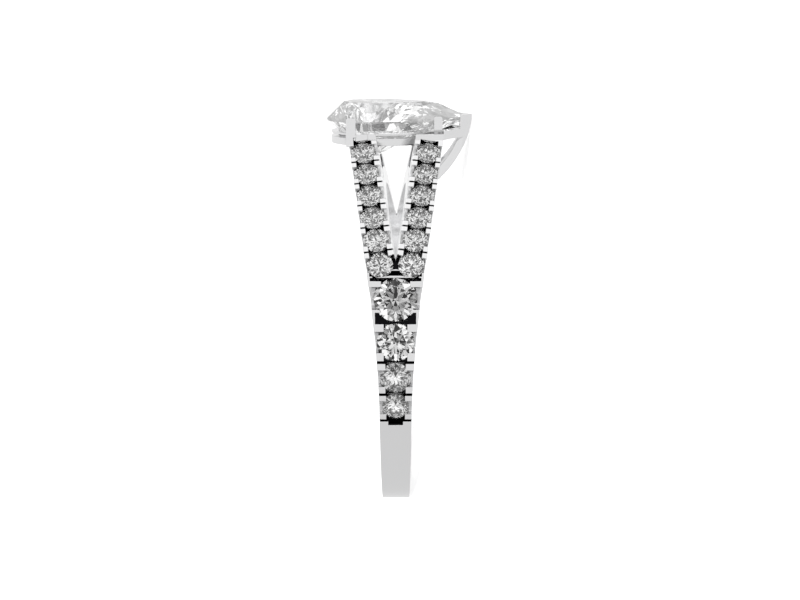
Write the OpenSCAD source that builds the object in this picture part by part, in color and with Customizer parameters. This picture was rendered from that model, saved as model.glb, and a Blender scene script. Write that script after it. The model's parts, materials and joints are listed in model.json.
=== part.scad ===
// Split shank ring with a pear-cut centre stone, lying on its side as it rests by itself.
// The modules draw the ring upright: X along the finger towards the pear's tip,
// Y away from the near side, Z up to the centre stone, origin at the middle of the finger hole.
// lying() then tips it over onto the pear's tip and the edge of the band.

/* [Finger and band] */
// Inside diameter of the ring
finger_d = 16.9; // [15:0.1:19]
// Thickness of the band and of the four arms
wall = 1.45; // [1.35:0.05:1.8]
// Width of the plain band at the bottom
band_w = 1.5; // [1.3:0.05:1.6]
// Width of the band where it begins to widen
shoulder_w = 1.7; // [1.6:0.02:2]
// Height at which the band begins to widen, from the middle of the finger hole
widen_z = -2.5; // [-3.5:0.1:-1.5]

/* [Split shank] */
// Depth under the girdle at which the widening has become straight
flare_drop = 6.3; // [5.8:0.1:6.8]
// Angle by which each side of the shank then leans outwards
flare_angle = 10.3; // [9.5:0.1:11.5]
// Depth of the fork's point under the girdle
fork_drop = 6.75; // [6.4:0.05:7]
// Angle by which each side of the fork leans outwards
fork_angle = 10.4; // [9.4:0.1:11]
// Thickness of the two arches over the finger
arch_t = 0.95; // [0.8:0.05:1.2]

/* [Centre stone] */
// Length of the pear
pear_l = 7.88; // [7.4:0.02:8.4]
// Width of the pear
pear_w = 5.11; // [4.8:0.01:5.3]
// Height of the crown over the girdle
crown_h = 0.95; // [0.7:0.05:1.1]
// Thickness of the girdle
girdle_h = 0.08; // [0.04:0.01:0.12]
// Depth of the pavilion under the girdle
pavilion_h = 2.18; // [1.9:0.02:2.3]
// Width of the table as a share of the pear
table_share = 0.61; // [0.5:0.01:0.66]
// Height of the girdle over the finger
stone_rise = 3.75; // [3.6:0.05:4.2]
// Shift of the pear's widest place from the middle, away from its tip
pear_shift = 1.36; // [1.2:0.02:1.5]

/* [Setting] */
// Depth of the setting's top edge under the girdle
rail_drop = 0.64; // [0.55:0.02:0.75]
// Height of the upper gallery rail
upper_rail_h = 0.11; // [0.08:0.01:0.2]
// Height of the slot between the two rails
rail_slot = 0.16; // [0.1:0.01:0.2]
// Height of the lower gallery rail
lower_rail_h = 0.4; // [0.3:0.02:0.5]
// Distance of the rails' outside from the pear's edge, inwards
rail_inset = 0.26; // [0.2:0.02:0.35]
// Thickness of the rails
rail_t = 0.4; // [0.3:0.05:0.5]
// Distance of the arms' flat ends from the middle of the finger
end_y = 2.49; // [2.45:0.01:2.7]
// Depth of the arms' flat ends under the girdle
end_drop = 0.957; // [0.9:0.001:1.1]
// Distance of the arms' inner ends from the middle of the finger
arm_reach = 1.5; // [1.4:0.05:1.7]
// Width of the two prongs near the round end
round_prong_w = 0.53; // [0.4:0.01:0.6]
// Place of the two prongs near the round end, along the finger
round_prong_x = 2.47; // [2.3:0.01:2.6]
// Width of the two prongs near the tip
tip_prong_w = 0.47; // [0.4:0.01:0.55]
// Place of the two prongs near the tip, along the finger
tip_prong_x = 2.36; // [2.2:0.01:2.5]
// Height of the prongs over the girdle
prong_rise = 0.26; // [0.2:0.01:0.35]
// Thickness of the prongs and of the V prong outside the stone
prong_t = 0.26; // [0.2:0.01:0.35]
// Length of each side of the V prong
v_prong_l = 1.25; // [0.9:0.05:1.4]
// Width of the two curved legs under the V prong
leg_w = 0.45; // [0.35:0.05:0.55]
// Depth of the two curved legs
leg_d = 0.47; // [0.4:0.01:0.55]
// Radius of the legs' outer curve
leg_r = 6.22; // [5.8:0.1:8]

/* [Small stones] */
// Diameter of the largest shank stone
shank_d1 = 2.29; // [2.1:0.01:2.35]
// Diameter of the second shank stone
shank_d2 = 1.97; // [1.8:0.01:2]
// Diameter of the third shank stone
shank_d3 = 1.63; // [1.5:0.01:1.7]
// Diameter of the smallest shank stone
shank_d4 = 1.41; // [1.3:0.01:1.5]
// Space between shank stones
shank_gap = 0.12; // [0.06:0.01:0.15]
// Number of stones on each arm, which fill it from the fork to its flat end
arm_count = 6; // [5:1:7]
// Space between arm stones
arm_gap = 0.1; // [0.04:0.01:0.14]
// Width of the strip of an arm that holds its stones
arm_w = 1.55; // [1.5:0.01:1.6]
// Depth of the small stones' girdles under the metal
girdle_sink = 0.2; // [0.14:0.01:0.24]
// Length of the small square beads that hold the arm stones
bead_l = 0.28; // [0.2:0.01:0.3]
// Width of the small square beads
bead_w = 0.28; // [0.25:0.01:0.35]
// Width of the saw cut between two beads
saw_cut = 0.1; // [0.06:0.01:0.14]
// Depth of the cuts between the beads
cut_depth = 0.4; // [0.3:0.01:0.45]
// Clearance between a stone and the metal
stone_gap = 0.02; // [0.015:0.005:0.03]

/* [Hidden] */
$fn = 96;

// Height of the tool shapes that reach out of the metal
over = 2;
// Overlap of soldered pieces
sink = 0.05;

// Radii round the finger
finger_r = finger_d / 2;
ring_r = finger_r + wall;
arch_r = finger_r + arch_t;

// Levels of the head
girdle_z = finger_r + stone_rise;
rail_top_z = girdle_z - rail_drop;
slot_top_z = rail_top_z - upper_rail_h;
slot_bottom_z = slot_top_z - rail_slot;
rail_bottom_z = slot_bottom_z - lower_rail_h;
prong_top_z = girdle_z + prong_rise;
flare_z = girdle_z - flare_drop;
fork_z = girdle_z - fork_drop;
end_z = girdle_z - end_drop;

// The arms leave the round of the band where a straight line to their ends touches it
arm_start_angle = atan2(end_z, end_y) - acos(ring_r / norm([end_y, end_z]));

// The pear: a round end, and two long arcs that meet at the tip
pear_r = pear_w / 2;
pear_x = -pear_shift;
tip_l = pear_l - pear_r;
side_r = (pow(tip_l, 2) + pow(pear_r, 2)) / pear_w;
side_c = side_r - pear_r;
tip_half_angle = acos(side_c / side_r);
tip_x = pear_x + tip_l;
v_apex_x = tip_x + prong_t / sin(tip_half_angle);
// Towards the tip the table reaches a little farther, as a share, and the girdle is thicker
tip_table = 0.05;
tip_lift = 0.12;

// Slopes of the shank's sides, below and above its bend
low_slope = (shoulder_w - band_w) / 2 / (widen_z + ring_r);
high_slope = tan(flare_angle);

// The outer curve of the V prong and its legs, in the plane of X and Z:
// from just under the girdle at the tip down to the side of an arch
leg_top = [v_apex_x - sink, girdle_z - rail_drop / 2];
foot_z = finger_r + 2 * sink + leg_w / 2;
foot = [half_width(foot_z) + leg_d / 2, foot_z];
chord = leg_top - foot;
leg_centre = (leg_top + foot) / 2
    + sqrt(pow(leg_r, 2) - pow(norm(chord) / 2, 2)) * [-chord[1], chord[0]] / norm(chord);
v_edge_z = leg_centre[1] - sqrt(pow(leg_r, 2) - pow(v_apex_x - leg_centre[0], 2));

// Lengths along the outside of the shank, from the level of the finger's middle
arc_s = ring_r * arm_start_angle * PI / 180;
end_s = arc_s + (ring_r * cos(arm_start_angle) - end_y) / sin(arm_start_angle);
fork_s = ring_r * asin(fork_z / ring_r) * PI / 180;

// The arm stones fill the arm evenly: the row starts a little below the fork's point
row_drop = 0.72;
row_s = fork_s - row_drop;
arm_pitch = (end_s - row_s) / arm_count;
arm_d = arm_pitch - arm_gap;
shank_ds = [shank_d1, shank_d2, shank_d3, shank_d4];
shank_count = len(shank_ds);

// Cuts between the shank stones: the share of the width cut out between the corner bars,
// the notch in each edge as a share of the stone, and the grooves across
bar_share = 0.57;
notch_share = 0.28;
groove_l = 0.15;
// Depth of the deepest cuts: the wide groove, and the recess and the gap under the fork
deep_cut = 0.7;
// The deep groove between the two largest stones, which starts below their boundary,
// the bars left over it, and the walls left at the ends of the grooves
wide_groove_l = 0.6;
wide_groove_drop = 0.1;
low_bar_l = 0.15;
end_wall = 0.12;
// The cut below the smallest stone
tail_l = 0.3;
tail_w = 0.78;
// Under the fork, from the groove over the largest stone upwards: the groove's top edge
// and length, a rib, a recess, a bridge, and the gap between the first pair of arm stones
fork_groove_up = -0.025;
fork_groove_l = 0.19;
rib_l = 0.11;
recess_l = 0.285;
bridge_l = 0.155;
pair_gap_l = 0.63;
pair_gap_w = 0.48;
// The pockets at the outer corners of that pair
pocket_up = 0.035;
pocket_l = 0.26;
pocket_w = 0.17;

// Spread of the V prong's legs, how far the walls that run to it rise over the rails,
// and how far the left arm's end stops short of the fork
leg_spread = 17;
wall_rise = 0.17;
end_gap = 0.5;

// Proportions of a round brilliant, as shares of its diameter
round_crown = 0.15;
round_pavilion = 0.43;
round_girdle = 0.03;
round_table = 0.57;

shank_sides = ["near", "far"];
arm_sides = ["left", "right"];
shank_names = [for (s = shank_sides, i = [1:shank_count]) str(s, "_shank_stone_", i)];
arm_names = [for (s = shank_sides, a = arm_sides, i = [1:arm_count]) str(s, "_", a, "_arm_stone_", i)];

// The ring rests on the V prong's outer edge and on the band's bottom edge
rest_tilt = atan((v_apex_x - band_w / 2) / (v_edge_z + ring_r));

// Half the width of the shank at a level: straight, then widening, then straight again
function half_width(z) = shoulder_w / 2 + low_slope * (min(z, flare_z) - widen_z)
    + (high_slope - low_slope) * pow(max(0, min(z, flare_z) - widen_z), 2) / 2 / (flare_z - widen_z)
    + high_slope * max(0, z - flare_z);
function width_slope(z) =
    low_slope + (high_slope - low_slope) * max(0, min(1, (z - widen_z) / (flare_z - widen_z)));
function fork_half(z) = tan(fork_angle) * (z - fork_z);

// Along the outside of the shank: the lean of the surface, and the level
function lean(s) = min(s / ring_r * 180 / PI, arm_start_angle);
function run(s) = max(0, s - arc_s);
function level(s) = ring_r * sin(lean(s)) + run(s) * cos(lean(s));

// Places of the small stones along the shank
function shank_d(i) = shank_ds[i - 1];
function shank_s(i) = i == 1
    ? row_s - stone_gap - shank_d(1) / 2
    : shank_s(i - 1) - (shank_d(i - 1) + shank_d(i)) / 2 - shank_gap;
function arm_s(i) = row_s + (arm_count - i + 0.5) * arm_pitch;
function arm_x(s) = half_width(level(s)) - arm_w / 2;
function splay(s) = atan(width_slope(level(s)) * cos(lean(s)));

// Distance from the pear's widest place to its edge in a direction from the tip
function pear_reach(a, grow = 0) = abs(a) < 90
    ? sqrt(pow(side_r + grow, 2) - pow(side_c * cos(a), 2)) - side_c * sin(abs(a))
    : pear_r + grow;

// Puts a piece on the outside of the near shank: X across it, Y up along it, Z outwards
module on_shank(s) {
    rotate([90 - lean(s), 0, 0])
        translate([0, run(s), ring_r])
            children();
}

// The same on an arm of the near shank, in line with the arm; side is -1 or 1
module on_arm(s, side) {
    on_shank(s)
        translate([side * arm_x(s), 0, 0])
            rotate([0, 0, -side * splay(s)])
                children();
}

module on_both_shanks() {
    children();
    mirror([0, 1, 0])
        children();
}

module on_side(is_far) {
    if (is_far) {
        mirror([0, 1, 0])
            children();
    } else {
        children();
    }
}

module lying() {
    rotate([0, 90 - rest_tilt, 0])
        children();
}

module extrude_across(w) {
    rotate([90, 0, 90])
        linear_extrude(w, center = true)
            children();
}

// The pear seen from above, grown or shrunk all round
module pear_outline(grow = 0) {
    translate([pear_x, 0]) {
        circle(r = pear_r + grow);
        intersection() {
            translate([0, -side_c])
                circle(r = side_r + grow);
            translate([0, side_c])
                circle(r = side_r + grow);
            translate([0, -pear_w])
                square([pear_l, 2 * pear_w]);
        }
    }
}

module side_profile() {
    half_end = [[ring_r * cos(arm_start_angle), ring_r * sin(arm_start_angle)],
        [end_y, end_z], [end_y, rail_top_z]];
    window_low = [finger_r * cos(arm_start_angle), finger_r * sin(arm_start_angle)];
    reach_z = (finger_r - arm_reach * cos(arm_start_angle)) / sin(arm_start_angle);
    half_window = [window_low, [arm_reach, reach_z], [arm_reach, rail_bottom_z],
        [arm_reach + rail_top_z - rail_bottom_z, rail_top_z + sink]];
    difference() {
        union() {
            circle(r = ring_r);
            polygon(concat(half_end, mirrored(half_end)));
        }
        difference() {
            polygon(concat(half_window, mirrored(half_window)));
            circle(r = arch_r);
        }
    }
}

function mirrored(points) = [for (i = [len(points) - 1:-1:0]) [-points[i][0], points[i][1]]];

module front_outline() {
    steps = 10;
    bend = [for (i = [0:steps]) let (z = widen_z + (flare_z - widen_z) * i / steps) [half_width(z), z]];
    bottom_z = -ring_r - sink;
    half = concat([[half_width(bottom_z), bottom_z]], bend,
        [[half_width(end_z), end_z], [half_width(end_z), rail_top_z]]);
    fork_top = rail_top_z + sink;
    difference() {
        polygon(concat(half, mirrored(half)));
        polygon([[0, fork_z], [fork_half(fork_top), fork_top], [-fork_half(fork_top), fork_top]]);
    }
}

module shanks() {
    intersection() {
        extrude_across(2 * pear_l)
            side_profile();
        rotate([90, 0, 0])
            linear_extrude(4 * finger_d, center = true)
                front_outline();
    }
}

module rail(bottom, height) {
    translate([0, 0, bottom])
        linear_extrude(height)
            difference() {
                pear_outline(-rail_inset);
                pear_outline(-rail_inset - rail_t);
            }
}

// A prong stands on the lower rail outside the pear, with two round corners on top;
// y is its outer face
module prong(x, w, y, depth) {
    corner = w / 4;
    translate([x, -y, 0])
        rotate([90, 0, 0])
            translate([0, 0, -depth])
                linear_extrude(depth) {
                    translate([-w / 2, rail_bottom_z])
                        square([w, prong_top_z - rail_bottom_z - corner]);
                    translate([corner - w / 2, rail_bottom_z])
                        square([w - 2 * corner, prong_top_z - rail_bottom_z]);
                    for (side = [-1, 1])
                        translate([side * (w / 2 - corner), prong_top_z - corner])
                            circle(r = corner);
                }
}

// Straight walls from the arms' ends to the tip; the V prong stands on them
v_corner_x = half_width(end_z);
v_half_angle = atan(end_y / (v_apex_x - v_corner_x));

module tip_wedge(t) {
    back = v_corner_x - (v_apex_x - v_corner_x);
    polygon([[v_apex_x - t, 0], [back - t, 2 * end_y], [back - t, -2 * end_y]]);
}

module tip_walls(from_x, bottom, top) {
    translate([0, 0, bottom])
        linear_extrude(top - bottom)
            intersection() {
                difference() {
                    tip_wedge(0);
                    tip_wedge(leg_w / sin(v_half_angle));
                }
                translate([from_x, -end_y])
                    square([pear_l, 2 * end_y]);
            }
}

module tip_legs() {
    intersection() {
        for (side = [-1, 1])
            translate([0, side * leg_w * 2 / 3, leg_top[1]])
                rotate([side * leg_spread, 0, 0])
                    translate([0, 0, -leg_top[1]])
                        rotate([90, 0, 0])
                            linear_extrude(leg_w, center = true)
                                intersection() {
                                    translate(leg_centre)
                                        difference() {
                                            circle(r = leg_r);
                                            circle(r = leg_r - leg_d);
                                        }
                                    translate([arm_w / 2, finger_r - 1])
                                        square([pear_l, rail_top_z - finger_r + 1]);
                                }
        translate([0, 0, finger_r - 1])
            linear_extrude(rail_top_z - finger_r + 1)
                tip_wedge(0);
    }
}

// A cut stone round its axis, girdle at 0: reach(a) is the distance to its edge in direction a
module cut_stone(reach, crown, girdle, pavilion, table, fine, tip_table = 0, tip_lift = 0) {
    mains = 8;
    star = 0.78;
    lower = 0.27;
    step = 360 / mains;
    count = 2 * fine * mains;
    bend = cos(step / 2);
    function at(a, share, z) = [share * reach(a) * cos(a), share * reach(a) * sin(a), z];
    function turn(a) = a > 180 ? a - 360 : a;
    star_z = girdle / 2 + crown * (1 - star * bend) / (1 - table);
    lower_z = -girdle / 2 - pavilion * (1 - lower * bend);
    points = concat(
        [for (k = [0:mains - 1])
            at(turn(k * step), table + (k == 0 ? tip_table : 0), girdle / 2 + crown)],
        [for (k = [0:mains - 1]) at(turn((k + 0.5) * step), star, star_z)],
        [for (i = [0:count - 1])
            at(turn(i * 360 / count), 1, girdle / 2 + (i == 0 ? tip_lift : 0))],
        [for (i = [0:count - 1]) at(turn(i * 360 / count), 1, -girdle / 2)],
        [for (k = [0:mains - 1]) at(turn((k + 0.5) * step), lower, lower_z)],
        [[0, 0, -girdle / 2 - pavilion]]);
    function t(k) = (k + mains) % mains;
    function s(k) = mains + (k + mains) % mains;
    function g(i) = 2 * mains + i % count;
    function b(i) = 2 * mains + count + i % count;
    function p(k) = 2 * mains + 2 * count + (k + mains) % mains;
    culet = 3 * mains + 2 * count;
    span = 2 * fine;
    faces = concat(
        [[for (k = [mains - 1:-1:0]) t(k)]],
        [for (k = [0:mains - 1]) [t(k), t(k + 1), s(k)]],
        [for (k = [0:mains - 1]) [t(k), s(k), g(k * span)]],
        [for (k = [0:mains - 1]) [t(k), g(k * span), s(k - 1)]],
        [for (k = [0:mains - 1], i = [0:span - 1]) [s(k), g(k * span + i + 1), g(k * span + i)]],
        [for (i = [0:count - 1]) [g(i), g(i + 1), b(i + 1), b(i)]],
        [for (k = [0:mains - 1], i = [0:span - 1]) [p(k), b(k * span + i), b(k * span + i + 1)]],
        [for (k = [0:mains - 1]) [culet, b(k * span), p(k)]],
        [for (k = [0:mains - 1]) [culet, p(k - 1), b(k * span)]]);
    polyhedron(points, faces, convexity = 2);
}

module pear_stone(grow = 0) {
    translate([pear_x, 0, girdle_z])
        cut_stone(function(a) pear_reach(a, grow), crown_h, girdle_h + 2 * grow, pavilion_h,
            table_share, 2, tip_table, tip_lift);
}

module round_stone(d) {
    translate([0, 0, -girdle_sink])
        cut_stone(function(a) d / 2, round_crown * d, round_girdle * d, round_pavilion * d, round_table, 1);
}

// The hollow that a round stone drops into, which leaves the beads' corners over its edge
module seat(d) {
    edge_r = d / 2 + stone_gap;
    table_r = round_table * d / 2 + stone_gap;
    half_girdle = round_girdle * d / 2 + stone_gap;
    translate([0, 0, -girdle_sink])
        rotate_extrude()
            polygon([[0, -half_girdle - round_pavilion * d - stone_gap], [edge_r, -half_girdle],
                [edge_r, half_girdle], [table_r, half_girdle + round_crown * d],
                [table_r, over], [0, over]]);
}

module notch(w, r) {
    rotate([0, 90, 0])
        cylinder(r = r, h = w, center = true);
}

// A straight cut from above, w across the shank and l along it, from its middle or its lower end
module cut(w, l, depth = cut_depth, centred = true) {
    translate([-w / 2, centred ? -l / 2 : 0, -depth])
        cube([w, l, depth + over]);
}

module arm_cuts(side) {
    notch_r = arm_pitch / 2 - saw_cut / 2 - bead_l;
    for (i = [1:arm_count]) {
        on_arm(arm_s(i), side) {
            seat(arm_d);
            notch(arm_w + 2 * bead_w, notch_r);
            cut(arm_w - 2 * bead_w, arm_pitch - saw_cut / 4);
        }
        if (i > 1)
            on_arm(arm_s(i) + arm_pitch / 2, side)
                cut(arm_w + 2 * bead_w, saw_cut, cut_depth + sink);
    }
}

module shank_cuts() {
    for (i = [1:shank_count]) {
        d = shank_d(i);
        s = shank_s(i);
        half = half_width(level(s));
        boundary = s - (d + shank_gap) / 2;
        cell_top = i == 1 ? row_s + fork_groove_up : s + (d + shank_gap) / 2 - saw_cut / 8;
        cell_bottom = boundary + saw_cut / 8;
        notch_top = s + notch_share * d;
        notch_bottom = i == 1
            ? boundary - wide_groove_drop + wide_groove_l + low_bar_l
            : s - notch_share * d;
        on_shank(s) {
            seat(d);
            translate([0, cell_bottom - s, 0])
                cut(2 * bar_share * half, cell_top - cell_bottom, cut_depth, false);
        }
        on_shank((notch_top + notch_bottom) / 2)
            notch(3 * half, (notch_top - notch_bottom) / 2);
        on_shank(boundary)
            if (i == 1) {
                translate([0, -wide_groove_drop, 0])
                    walled_cut(level(boundary), wide_groove_l, deep_cut);
            } else {
                cut(3 * half, groove_l, cut_depth + sink);
            }
    }
}

// A cut across the shank that leaves a thin wall at each end; z is its level
module walled_cut(z, l, depth) {
    cut(2 * (half_width(z) - end_wall), l, depth, false);
}

module end_cuts() {
    // below the smallest stone, into the plain band
    tail_s = shank_s(shank_count) - (shank_d(shank_count) + shank_gap) / 2;
    on_shank(tail_s)
        translate([0, -tail_l, 0])
            cut(tail_w, tail_l, cut_depth, false);
    // between the largest stone and the fork
    rib_y = fork_groove_up + rib_l;
    gap_y = rib_y + recess_l + bridge_l;
    pocket_x = half_width(level(row_s)) - end_wall - pocket_w / 2;
    on_shank(row_s) {
        translate([0, fork_groove_up - fork_groove_l, 0])
            walled_cut(level(row_s - fork_groove_l), fork_groove_l, cut_depth + sink);
        translate([0, rib_y, 0])
            cut(tail_w, recess_l, deep_cut, false);
        translate([0, gap_y, 0])
            cut(pair_gap_w, pair_gap_l, deep_cut, false);
        for (side = [-1, 1])
            translate([side * pocket_x, pocket_up, 0])
                cut(pocket_w, pocket_l, cut_depth, false);
    }
}

module ring_metal() {
    color("gainsboro")
        lying()
            difference() {
                union() {
                    shanks();
                    rail(slot_top_z, upper_rail_h);
                    intersection() {
                        rail(rail_bottom_z, lower_rail_h);
                        translate([-pear_l, -pear_w, 0])
                            cube([pear_l + tip_prong_x, 2 * pear_w, rail_top_z]);
                    }
                    intersection() {
                        union() {
                            tip_walls(v_corner_x - leg_w, end_z, rail_top_z);
                            tip_walls(v_corner_x, end_z, rail_top_z + wall_rise);
                            tip_walls(v_apex_x - v_prong_l * cos(v_half_angle), end_z, prong_top_z);
                        }
                        rotate([90, 0, 0])
                            linear_extrude(pear_l, center = true)
                                translate(leg_centre)
                                    circle(r = leg_r);
                    }
                    tip_legs();
                    on_both_shanks() {
                        prong(-round_prong_x, round_prong_w, end_y + prong_t, 3 * prong_t);
                        prong(tip_prong_x, tip_prong_w, prong_y(tip_prong_x), 2 * prong_t);
                    }
                }
                rotate([0, 90, 0])
                    cylinder(r = finger_r, h = 2 * pear_l, center = true);
                pear_stone(stone_gap);
                on_both_shanks() {
                    shank_cuts();
                    end_cuts();
                    for (side = [-1, 1])
                        arm_cuts(side);
                    // the left arm's end stops short of the fork
                    translate([-fork_half(end_z) - end_gap, -end_y - over, end_z])
                        cube([end_gap + sink, over + end_y - pear_r + rail_inset - sink, over]);
                }
            }
}

// Outside of a prong that stands against the pear's long side
function prong_y(x) = sqrt(pow(side_r, 2) - pow(x - pear_x, 2)) - side_c + prong_t;

module centre_stone() {
    color("aliceblue")
        lying()
            pear_stone();
}

module shank_stone(is_far, i) {
    color("aliceblue")
        lying()
            on_side(is_far)
                on_shank(shank_s(i))
                    round_stone(shank_d(i));
}

module arm_stone(is_far, side, i) {
    color("aliceblue")
        lying()
            on_side(is_far)
                on_arm(arm_s(i), side)
                    round_stone(arm_d);
}

ring_metal();
centre_stone();
for (far = [0, 1], i = [1:shank_count])
    shank_stone(far == 1, i);
for (far = [0, 1], a = [0, 1], i = [1:arm_count])
    arm_stone(far == 1, 2 * a - 1, i);
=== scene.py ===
"""Finishes the split shank ring and sets it in its studio, as a Blender script laid out as an add-on."""

import json
import math

import bmesh
import bpy
from bpy.props import FloatProperty, FloatVectorProperty, PointerProperty
from mathutils import Matrix, Vector


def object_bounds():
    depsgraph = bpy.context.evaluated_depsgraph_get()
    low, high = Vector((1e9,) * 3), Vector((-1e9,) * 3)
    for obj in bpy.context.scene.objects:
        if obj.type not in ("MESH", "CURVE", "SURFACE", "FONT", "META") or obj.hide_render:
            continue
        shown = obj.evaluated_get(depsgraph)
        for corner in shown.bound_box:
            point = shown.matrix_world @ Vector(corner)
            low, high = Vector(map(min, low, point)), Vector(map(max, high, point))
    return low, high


bl_info = {
    "name": "Split Shank Ring",
    "version": (1, 0, 0),
    "blender": (4, 5, 0),
    "location": "3D View > Sidebar > Ring",
    "description": "Finishes the metal and the stones of a split shank ring and sets up its studio",
    "category": "Object",
}

MM = 0.001
METAL_NODE = "ring_metal"
CENTRE_NODE = "centre_stone"

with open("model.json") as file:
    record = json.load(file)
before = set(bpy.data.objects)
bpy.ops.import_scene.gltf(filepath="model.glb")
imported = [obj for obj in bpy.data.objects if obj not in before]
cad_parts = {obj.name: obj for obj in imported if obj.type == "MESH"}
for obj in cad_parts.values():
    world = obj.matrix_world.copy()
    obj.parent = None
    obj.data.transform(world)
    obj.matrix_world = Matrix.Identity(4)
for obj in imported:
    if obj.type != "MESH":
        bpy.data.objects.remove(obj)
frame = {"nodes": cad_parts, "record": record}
CAD_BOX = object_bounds()

# The shank's shape, as far as the metal's shading follows it
BORE_RADIUS = 8.45 * MM
OUTSIDE_RADIUS = 9.9 * MM
ARM_LEAN = math.radians(46.8)
FORK_HEIGHT = 5.45 * MM
FORK_ANGLE = math.radians(10.4)
# Depths under its outside, from where a cut begins to darken to where no cut reaches
CUT_START = 0.15 * MM
CUT_DARKEST = 0.3 * MM
CUTS_END = 0.9 * MM
PAST_CUTS = 1.1 * MM

# How finely the ways that facets face are told apart
FACET_STEP = 0.04
SENSOR_WIDTH = 36
WHITE = (1, 1, 1, 1)
BLACK = (0, 0, 0, 1)


def finger_axis():
    """The direction of the finger hole, which leans as the ring rests."""
    mounts = {m["name"]: m for m in frame["record"]["mounts"]}
    return Vector(mounts["finger_hole"]["axis"]).normalized()


def head_direction():
    """The direction from the middle of the finger hole to the centre stone."""
    axis = finger_axis()
    return Vector((axis.z, 0, -axis.x))


def upright_to_lying():
    """Turns the upright ring, stone on top and its tip to the right, to the way it lies."""
    axis = finger_axis()
    tilt = math.atan2(-axis.x, axis.z)
    return Matrix.Rotation(math.radians(90) - tilt, 4, "Y")


class RingMetalSettings(bpy.types.PropertyGroup):
    colour: FloatVectorProperty(
        name="Colour", description="Colour of the polished white gold",
        subtype="COLOR", min=0, max=1, default=(0.86, 0.86, 0.865),
    )
    # painted shade: the colour the metal is painted deep in the cuts round the stones, where shade falls
    painted_recess_shade: FloatVectorProperty(
        name="Recess colour", description="Colour deep in the cuts round the stones",
        subtype="COLOR", min=0, max=1, default=(0.008, 0.008, 0.009),
    )
    recess_reach: FloatProperty(
        name="Recess reach", description="How near to another wall the metal begins to darken",
        unit="LENGTH", precision=5, min=0, default=1.0 * MM,
    )
    head_start: FloatProperty(
        name="Head start",
        description="Height over the middle of the finger above which the metal is open",
        unit="LENGTH", precision=4, min=0, default=10.95 * MM,
    )
    roughness: FloatProperty(
        name="Roughness", description="Roughness where the polish is worn the most",
        subtype="FACTOR", min=0, max=1, default=0.12,
    )
    edge_radius: FloatProperty(
        name="Edge radius", description="Radius of the polished edges",
        unit="LENGTH", precision=5, min=0, default=0.05 * MM,
    )
    # painted glow: strength of the light that the metal inside the finger hole and between the arms
    # gives off, though it is no lamp
    bore_painted_glow: FloatProperty(
        name="Inside light", description="Light caught inside the finger hole and between the arms",
        min=0, default=0.1,
    )
    scratch_depth: FloatProperty(
        name="Scratch depth", description="Depth of the fine polishing lines",
        unit="LENGTH", precision=7, min=0, default=0.00015 * MM,
    )


class RingStoneSettings(bpy.types.PropertyGroup):
    centre_colour: FloatVectorProperty(
        name="Centre stone", description="Colour of the light through the pear",
        subtype="COLOR", min=0, max=1, default=(1.0, 1.0, 1.0),
    )
    small_colour: FloatVectorProperty(
        name="Small stones", description="Colour of the light through the small stones",
        subtype="COLOR", min=0, max=1, default=(0.98, 0.98, 0.98),
    )
    refraction: FloatProperty(
        name="Refraction", description="Index of refraction of the stones",
        min=1, max=3, default=2.4,
    )
    glint_size: FloatProperty(
        name="Glint size", description="Size of the glints in a stone",
        unit="LENGTH", precision=5, min=0.01 * MM, default=0.1 * MM,
    )


class RingStudioSettings(bpy.types.PropertyGroup):
    camera_distance: FloatProperty(
        name="Camera distance",
        description="Distance of the camera from the middle of the finger, level",
        unit="LENGTH", precision=4, default=80 * MM,
    )
    camera_height: FloatProperty(
        name="Camera height",
        description="Height of the camera over the middle of the finger, head up",
        unit="LENGTH", precision=4, default=20.17 * MM,
    )
    camera_side: FloatProperty(
        name="Camera side", description="Distance of the camera from the ring's middle plane",
        unit="LENGTH", precision=5, default=0.23 * MM,
    )
    camera_pitch: FloatProperty(
        name="Camera pitch", description="Angle at which the camera looks down at the upright ring",
        subtype="ANGLE", default=math.radians(13.05),
    )
    lens: FloatProperty(
        name="Lens", description="Focal length of the camera in millimetres",
        min=20, max=200, default=63.29,
    )
    floor_colour: FloatVectorProperty(
        name="Floor", description="Colour of the floor and backdrop",
        subtype="COLOR", min=0, max=1, default=(0.9, 0.9, 0.9),
    )
    floor_size: FloatProperty(
        name="Floor size", description="Length of the floor's sides",
        unit="LENGTH", default=1.2,
    )
    cove_radius: FloatProperty(
        name="Cove radius", description="Radius of the bend where the floor turns up into the backdrop",
        unit="LENGTH", default=0.3,
    )
    light: FloatProperty(
        name="Light", description="Brightness of the studio as a whole",
        min=0, default=1.0,
    )


def new_material(name):
    """An empty node material with one Principled shader."""
    material = bpy.data.materials.new(name)
    material.use_nodes = True
    tree = material.node_tree
    tree.nodes.clear()
    shader = tree.nodes.new("ShaderNodeBsdfPrincipled")
    output = tree.nodes.new("ShaderNodeOutputMaterial")
    tree.links.new(shader.outputs["BSDF"], output.inputs["Surface"])
    return material, tree, shader


def add_node(tree, kind, inputs=None, **settings):
    """Adds a shader node, sets its properties, and sets or links its inputs."""
    node = tree.nodes.new(kind)
    for name, value in settings.items():
        setattr(node, name, value)
    for name, value in (inputs or {}).items():
        socket = node.inputs[name]
        if isinstance(value, bpy.types.NodeSocket):
            tree.links.new(value, socket)
        else:
            socket.default_value = value
    return node


def calculate(tree, operation, first, second=0.0, clamp=False):
    """The result of one operation on two values."""
    node = add_node(tree, "ShaderNodeMath", {0: first, 1: second}, operation=operation, use_clamp=clamp)
    return node.outputs["Value"]


def own_place(tree):
    """A point's place in the object's own coordinates."""
    return add_node(tree, "ShaderNodeTexCoord").outputs["Object"]


def length_of(tree, vector):
    """The length of a vector."""
    return add_node(tree, "ShaderNodeVectorMath", {0: vector}, operation="LENGTH").outputs["Value"]


def distance_along(tree, place, direction):
    """How far a place lies from the origin in one direction."""
    dot = add_node(tree, "ShaderNodeVectorMath", {0: place, 1: direction}, operation="DOT_PRODUCT")
    return dot.outputs["Value"]


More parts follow.
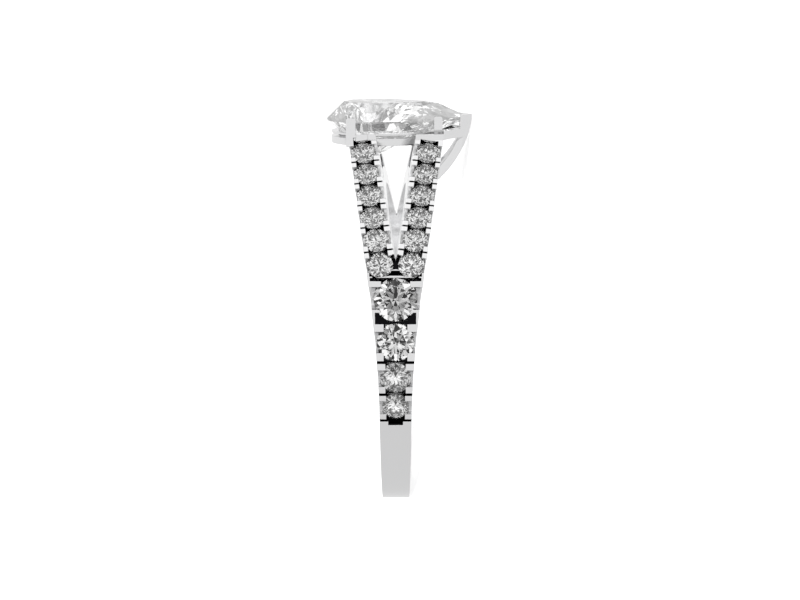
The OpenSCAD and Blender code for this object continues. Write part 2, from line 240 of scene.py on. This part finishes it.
def noise(tree, size, detail=2.0, stretch=(1, 1, 1)):
    """Noise in the object's own coordinates, with features of about the given size."""
    mapping = add_node(tree, "ShaderNodeMapping", {"Vector": own_place(tree), "Scale": stretch})
    grain = add_node(
        tree, "ShaderNodeTexNoise",
        {"Vector": mapping.outputs["Vector"], "Scale": 1 / size, "Detail": detail},
    )
    return grain.outputs["Fac"]


def spread(tree, value, low, high, low_at=0.3, high_at=0.7):
    """Maps a value that goes from low_at to high_at to one that goes from low to high."""
    node = add_node(
        tree, "ShaderNodeMapRange",
        {"Value": value, "From Min": low_at, "From Max": high_at, "To Min": low, "To Max": high},
    )
    return node.outputs["Result"]


def mix_colours(tree, factor, first, second):
    """A colour between two colours."""
    mix = add_node(
        tree, "ShaderNodeMix", {"Factor": factor, "A": (*first[:3], 1), "B": (*second[:3], 1)},
        data_type="RGBA",
    )
    return mix.outputs["Result"]


def distance_from_axis(tree):
    """Distance of a point from the finger hole's axis, which passes through the origin."""
    across = add_node(
        tree, "ShaderNodeVectorMath", {0: own_place(tree), 1: finger_axis()}, operation="CROSS_PRODUCT",
    )
    return length_of(tree, across.outputs["Vector"])


def height_over_finger(tree):
    """Height of a point over the middle of the finger hole, towards the centre stone."""
    return distance_along(tree, own_place(tree), head_direction())


def distance_along_wall(tree, height):
    """Distance from the finger's middle to a surface through the point that runs along the shank:
    round up to the arms, then straight like them."""
    split = add_node(tree, "ShaderNodeSeparateXYZ", {"Vector": own_place(tree)})
    side = calculate(tree, "ABSOLUTE", split.outputs["Y"])
    point = add_node(tree, "ShaderNodeCombineXYZ", {"X": side, "Z": height}).outputs["Vector"]
    out = distance_along(tree, point, (math.cos(ARM_LEAN), 0, math.sin(ARM_LEAN)))
    up = distance_along(tree, point, (-math.sin(ARM_LEAN), 0, math.cos(ARM_LEAN)))
    below = calculate(tree, "MINIMUM", up, 0.0)
    reach = add_node(tree, "ShaderNodeCombineXYZ", {"X": out, "Y": below})
    return length_of(tree, reach.outputs["Vector"])


def distance_from_fork(tree, height):
    """How far a point lies outside the fork's sides, along the finger."""
    away = calculate(tree, "ABSOLUTE", distance_along(tree, own_place(tree), finger_axis()))
    slope = math.tan(FORK_ANGLE)
    fork_half = spread(
        tree, height, 0.0, slope * OUTSIDE_RADIUS, FORK_HEIGHT, FORK_HEIGHT + OUTSIDE_RADIUS,
    )
    return calculate(tree, "SUBTRACT", away, fork_half)


def painted_cut_shade(tree, outwards, skin, settings):
    """Mask for the painted shade in the cuts: 0 deep in a cut that is made from the shank's outside,
    where the metal is painted dark.
    """
    recess = add_node(
        tree, "ShaderNodeAmbientOcclusion", {"Distance": settings.recess_reach},
        samples=8, only_local=True,
    ).outputs["AO"]
    sunk = spread(tree, outwards, 2.0, 0.0, OUTSIDE_RADIUS - CUT_DARKEST, OUTSIDE_RADIUS - CUT_START)
    cut = calculate(tree, "MULTIPLY", sunk, skin)
    closed = calculate(tree, "SUBTRACT", 1.0, recess)
    deep = calculate(tree, "MULTIPLY", closed, cut)
    return spread(tree, calculate(tree, "SUBTRACT", recess, deep), 0.0, 1.0, 0.28, 0.65)


def fork_mask(tree, height, settings):
    """1 on the fork's two sides between its foot and the head, 0 elsewhere."""
    over_foot = spread(tree, height, 0.0, 1.0, FORK_HEIGHT + 0.35 * MM, FORK_HEIGHT + 0.5 * MM)
    under_head = spread(
        tree, height, 1.0, 0.0, settings.head_start - 0.5 * MM, settings.head_start - 0.4 * MM,
    )
    between = calculate(tree, "MINIMUM", over_foot, under_head)
    near_side = spread(tree, distance_from_fork(tree, height), 1.0, 0.0, 0.03 * MM, 0.07 * MM)
    return calculate(tree, "MULTIPLY", between, near_side)


def polished_metal(settings):
    """Polished white gold: rounded edges, fine polishing lines, painted shade where it's cut deep, and a
    painted glow inside the finger hole and on the fork's sides.
    """
    material, tree, shader = new_material("polished_white_gold")
    shader.inputs["Metallic"].default_value = 1.0

    # painted shade: what lies under the shank's outside and isn't quite open is painted dark, where
    # shade would fall
    height = height_over_finger(tree)
    outwards = distance_along_wall(tree, height)
    skin = spread(tree, outwards, 0.0, 1.0, OUTSIDE_RADIUS - PAST_CUTS, OUTSIDE_RADIUS - CUTS_END)
    painted_shade_mask = painted_cut_shade(tree, outwards, skin, settings)
    # the head, the fork's sides and what lies deeper than the cuts are spared the painted shade, the
    # head in part
    head = spread(tree, height, 0.0, 0.6, settings.head_start - 0.05 * MM, settings.head_start)
    fork = fork_mask(tree, height, settings)
    inner = calculate(tree, "SUBTRACT", 1.0, skin)
    unshaded = calculate(tree, "MAXIMUM", head, calculate(tree, "MAXIMUM", fork, inner))
    lit = calculate(tree, "ADD", painted_shade_mask, unshaded, clamp=True)
    colour = mix_colours(tree, lit, settings.painted_recess_shade, settings.colour)
    tree.links.new(colour, shader.inputs["Base Color"])

    # painted glow: the metal inside the finger hole and on the fork's sides gives off light
    bore = spread(
        tree, distance_from_axis(tree), 1.0, 0.0, BORE_RADIUS + 0.02 * MM, BORE_RADIUS + 0.03 * MM,
    )
    glow = spread(tree, calculate(tree, "MAXIMUM", bore, fork), 0.0, settings.bore_painted_glow, 0.0, 1.0)
    tree.links.new(glow, shader.inputs["Emission Strength"])
    shader.inputs["Emission Color"].default_value = WHITE

    wear = spread(tree, noise(tree, 0.8 * MM), settings.roughness / 3, settings.roughness)
    tree.links.new(wear, shader.inputs["Roughness"])
    lines = noise(tree, 0.03 * MM, detail=3, stretch=(1, 1, 0.1))
    edge = add_node(tree, "ShaderNodeBevel", {"Radius": settings.edge_radius}, samples=6)
    bump = add_node(
        tree, "ShaderNodeBump",
        {"Height": lines, "Distance": settings.scratch_depth, "Normal": edge.outputs["Normal"]},
    )
    tree.links.new(bump.outputs["Normal"], shader.inputs["Normal"])
    return material


def facet_shade(tree, low):
    """A painted shade from low to 1 on each facet, by the way it faces, standing in for the light and
    dark that the facets catch.
    """
    geometry = add_node(tree, "ShaderNodeNewGeometry")
    facing = add_node(
        tree, "ShaderNodeVectorMath",
        {0: geometry.outputs["True Normal"], 1: (FACET_STEP, FACET_STEP, FACET_STEP)}, operation="SNAP",
    )
    chance = add_node(
        tree, "ShaderNodeTexWhiteNoise", {"Vector": facing.outputs["Vector"]}, noise_dimensions="3D",
    )
    return spread(tree, chance.outputs["Value"], low, 1.0, 0.0, 1.0)


def glint_shade(tree, size, low):
    """Painted glints: small cells of painted light and shade, standing in for the facets behind showing
    through those in front.
    """
    cells = add_node(tree, "ShaderNodeTexVoronoi", {"Vector": own_place(tree), "Scale": 1 / size})
    shade = add_node(tree, "ShaderNodeSeparateColor", {"Color": cells.outputs["Color"]})
    return spread(tree, shade.outputs["Red"], low, 1.0, 0.0, 0.8)


def cut_crystal(name, colour, settings, facet_low, glint_low, sheen, glow=0.0):
    """Clear cut stone, with painted shade on its facets, painted glints between them and, where glow is
    given, a painted glow.
    """
    material, tree, shader = new_material(name)
    shader.inputs["Transmission Weight"].default_value = 1.0
    shader.inputs["Roughness"].default_value = 0.0
    shader.inputs["IOR"].default_value = settings.refraction
    shader.inputs["Specular Tint"].default_value = (sheen, sheen, sheen, 1)
    shader.inputs["Emission Color"].default_value = WHITE
    if glow > 0:
        # painted glow: the facets give off light though the stone is no lamp
        lit = spread(tree, facet_shade(tree, 0.0), 0.0, glow, 0.0, 1.0)
        tree.links.new(lit, shader.inputs["Emission Strength"])
    glints = glint_shade(tree, settings.glint_size, glint_low)
    # painted shade and painted glints darken the colour of the light through the stone
    shade = calculate(tree, "MULTIPLY", facet_shade(tree, facet_low), glints)
    tree.links.new(mix_colours(tree, shade, BLACK, colour), shader.inputs["Base Color"])
    return material


def dress(node_name, material):
    """Gives a CAD node one material."""
    if node_name not in frame["nodes"]:
        raise RuntimeError(f"the frame has no node named {node_name}")
    mesh = frame["nodes"][node_name].data
    mesh.materials.clear()
    mesh.materials.append(material)


class RING_OT_polish_metal(bpy.types.Operator):
    """Gives the metal its polish, painted shade in its cuts and a painted glow inside the finger hole
    and between the arms
    """

    bl_idname = "ring.polish_metal"
    bl_label = "Polish the Metal"

    def execute(self, context):
        dress(METAL_NODE, polished_metal(context.scene.ring_metal))
        return {"FINISHED"}


class RING_OT_clear_centre_stone(bpy.types.Operator):
    """Makes the pear-cut centre stone clear"""

    bl_idname = "ring.clear_centre_stone"
    bl_label = "Clear the Centre Stone"

    def execute(self, context):
        settings = context.scene.ring_stones
        # the pear gets painted facet shade, painted glints and a painted glow
        crystal = cut_crystal(
            "pear_crystal", settings.centre_colour, settings,
            facet_low=0.88, glint_low=0.97, sheen=1.0, glow=0.12,
        )
        dress(CENTRE_NODE, crystal)
        return {"FINISHED"}


class RING_OT_clear_small_stones(bpy.types.Operator):
    """Makes the small round stones clear"""

    bl_idname = "ring.clear_small_stones"
    bl_label = "Clear the Small Stones"

    def execute(self, context):
        settings = context.scene.ring_stones
        colour = settings.small_colour
        # painted facet shade and painted glints for each kind of small stone, and a painted glow for
        # small_crystal
        arm_crystal = cut_crystal(
            "arm_crystal", colour, settings, facet_low=0.95, glint_low=0.55, sheen=0.85,
        )
        large_crystal = cut_crystal(
            "large_crystal", colour, settings, facet_low=0.08, glint_low=0.9, sheen=0.3,
        )
        small_crystal = cut_crystal(
            "small_crystal", colour, settings, facet_low=0.2, glint_low=0.9, sheen=0.35, glow=0.04,
        )
        small = [name for name in frame["nodes"] if name not in (METAL_NODE, CENTRE_NODE)]
        if not small:
            raise RuntimeError("the frame has no small stones")
        for name in small:
            if "_arm_" in name:
                dress(name, arm_crystal)
            else:
                dress(name, large_crystal if name.endswith(("_1", "_2")) else small_crystal)
        return {"FINISHED"}


def matt_paper(name, colour, glow):
    """Matt paper with a fine grain, which glows a little so that it stays white in the picture."""
    material, tree, shader = new_material(name)
    shader.inputs["Base Color"].default_value = (*colour, 1)
    shader.inputs["Emission Color"].default_value = WHITE
    shader.inputs["Emission Strength"].default_value = glow
    shader.inputs["Specular IOR Level"].default_value = 0.2
    tree.links.new(spread(tree, noise(tree, 2 * MM), 0.7, 0.8), shader.inputs["Roughness"])
    return material


def cove_profile(half, radius, steps=24):
    """Side view (y, z) of a floor that curves up into a wall behind."""
    turns = [math.radians(90) * i / steps for i in range(steps + 1)]
    bend = [(half - radius + radius * math.sin(a), radius - radius * math.cos(a)) for a in turns]
    return [(-half, 0), *bend, (half, 2 * half)]


def add_sheet(name, profile, width, floor_z, material):
    """A bent sheet with the given side view (y, z), which stands for floor and backdrop in one."""
    mesh = bpy.data.meshes.new(name)
    sheet = bmesh.new()
    rows = [[sheet.verts.new((x, y, floor_z + z)) for x in (-width / 2, width / 2)] for y, z in profile]
    for low, high in zip(rows, rows[1:]):
        sheet.faces.new((low[0], low[1], high[1], high[0]))
    sheet.to_mesh(mesh)
    sheet.free()
    for polygon in mesh.polygons:
        polygon.use_smooth = True
    mesh.materials.append(material)
    obj = bpy.data.objects.new(name, mesh)
    bpy.context.scene.collection.objects.link(obj)
    return obj


def add_softbox(name, place, target, size, power):
    """A soft square light that shines at the target and isn't seen in the metal or the stones."""
    light = bpy.data.lights.new(name, "AREA")
    light.shape = "SQUARE"
    light.size = size
    light.energy = power
    obj = bpy.data.objects.new(name, light)
    bpy.context.scene.collection.objects.link(obj)
    obj.location = place
    obj.rotation_mode = "QUATERNION"
    obj.rotation_quaternion = (Vector(target) - Vector(place)).to_track_quat("-Z", "Y")
    obj.visible_glossy = False
    obj.visible_transmission = False


def light_world(strength):
    """A studio all round: a grey for each direction, and patches of light seen through the stones."""
    world = bpy.data.worlds.new("studio")
    world.use_nodes = True
    tree = world.node_tree
    tree.nodes.clear()
    direction = add_node(tree, "ShaderNodeTexCoord").outputs["Generated"]
    split = add_node(tree, "ShaderNodeSeparateXYZ", {"Vector": direction})
    # it is dimmer past the band, brighter past the head, and a little brighter above than below
    past_band = spread(tree, split.outputs["X"], 0.71, 0.85, -0.8, -0.2)
    past_head = spread(tree, split.outputs["X"], 0.0, 0.2, 0.72, 0.9)
    upwards = spread(tree, split.outputs["Z"], 0.95, 1.05, -0.8, 0.8)
    walls = calculate(tree, "MULTIPLY", calculate(tree, "ADD", past_band, past_head), upwards)
    # what shines through the stones is patchy, so that their facets differ
    patches = add_node(
        tree, "ShaderNodeTexNoise", {"Vector": direction, "Scale": 4.0, "Detail": 1.0},
    )
    sparkle = spread(tree, patches.outputs["Fac"], 0.0, 1.3, 0.43, 0.53)
    path = add_node(tree, "ShaderNodeLightPath")
    seen = add_node(
        tree, "ShaderNodeMix",
        {"Factor": path.outputs["Is Transmission Ray"], "A": walls, "B": sparkle},
        data_type="FLOAT",
    )
    background = add_node(
        tree, "ShaderNodeBackground", {"Color": seen.outputs["Result"], "Strength": strength},
    )
    output = add_node(tree, "ShaderNodeOutputWorld")
    tree.links.new(background.outputs["Background"], output.inputs["Surface"])
    bpy.context.scene.world = world


def add_camera(settings):
    """The photograph's camera, which looks at the upright ring from in front and a little above."""
    data = bpy.data.cameras.new("camera")
    data.lens = settings.lens
    data.sensor_width = SENSOR_WIDTH
    data.clip_start = MM
    data.clip_end = 10
    camera = bpy.data.objects.new("camera", data)
    bpy.context.scene.collection.objects.link(camera)
    place = Vector((settings.camera_side, -settings.camera_distance, settings.camera_height))
    pitch = Matrix.Rotation(math.radians(90) - settings.camera_pitch, 4, "X")
    camera.matrix_world = upright_to_lying() @ Matrix.Translation(place) @ pitch
    bpy.context.scene.camera = camera


class RING_OT_set_stage(bpy.types.Operator):
    """Sets up the sheet under and behind the ring, the lights and the camera"""

    bl_idname = "ring.set_stage"
    bl_label = "Set the Stage"

    def execute(self, context):
        settings = context.scene.ring_studio
        paper = matt_paper("white_paper", settings.floor_colour, glow=0.5)
        profile = cove_profile(settings.floor_size / 2, settings.cove_radius)
        floor = add_sheet("floor", profile, settings.floor_size, CAD_BOX[0].z, paper)
        floor.visible_glossy = False
        floor.visible_transmission = False
        light_world(settings.light)
        add_softbox(
            "top_light", place=(0.05, -0.05, 0.3), target=(0, 0, 0),
            size=0.25, power=0.3 * settings.light,
        )
        add_camera(settings)
        context.scene.view_settings.view_transform = "Standard"
        return {"FINISHED"}


class RING_PT_panel(bpy.types.Panel):
    """Lists the steps that finish the ring"""

    bl_idname = "RING_PT_panel"
    bl_label = "Split Shank Ring"
    bl_space_type = "VIEW_3D"
    bl_region_type = "UI"
    bl_category = "Ring"

    def draw(self, context):
        for step in STEPS:
            self.layout.operator(step.bl_idname)
        for settings in (context.scene.ring_metal, context.scene.ring_stones, context.scene.ring_studio):
            box = self.layout.box()
            for name in settings.__annotations__:
                box.prop(settings, name)


STEPS = (
    RING_OT_polish_metal,
    RING_OT_clear_centre_stone,
    RING_OT_clear_small_stones,
    RING_OT_set_stage,
)
CLASSES = (RingMetalSettings, RingStoneSettings, RingStudioSettings, *STEPS, RING_PT_panel)


def register():
    for cls in CLASSES:
        bpy.utils.register_class(cls)
    bpy.types.Scene.ring_metal = PointerProperty(type=RingMetalSettings)
    bpy.types.Scene.ring_stones = PointerProperty(type=RingStoneSettings)
    bpy.types.Scene.ring_studio = PointerProperty(type=RingStudioSettings)


def unregister():
    del bpy.types.Scene.ring_studio
    del bpy.types.Scene.ring_stones
    del bpy.types.Scene.ring_metal
    for cls in reversed(CLASSES):
        bpy.utils.unregister_class(cls)


def main():
    register()
    bpy.ops.ring.polish_metal()
    bpy.ops.ring.clear_centre_stone()
    bpy.ops.ring.clear_small_stones()
    bpy.ops.ring.set_stage()


if __name__ == "__main__":
    main()
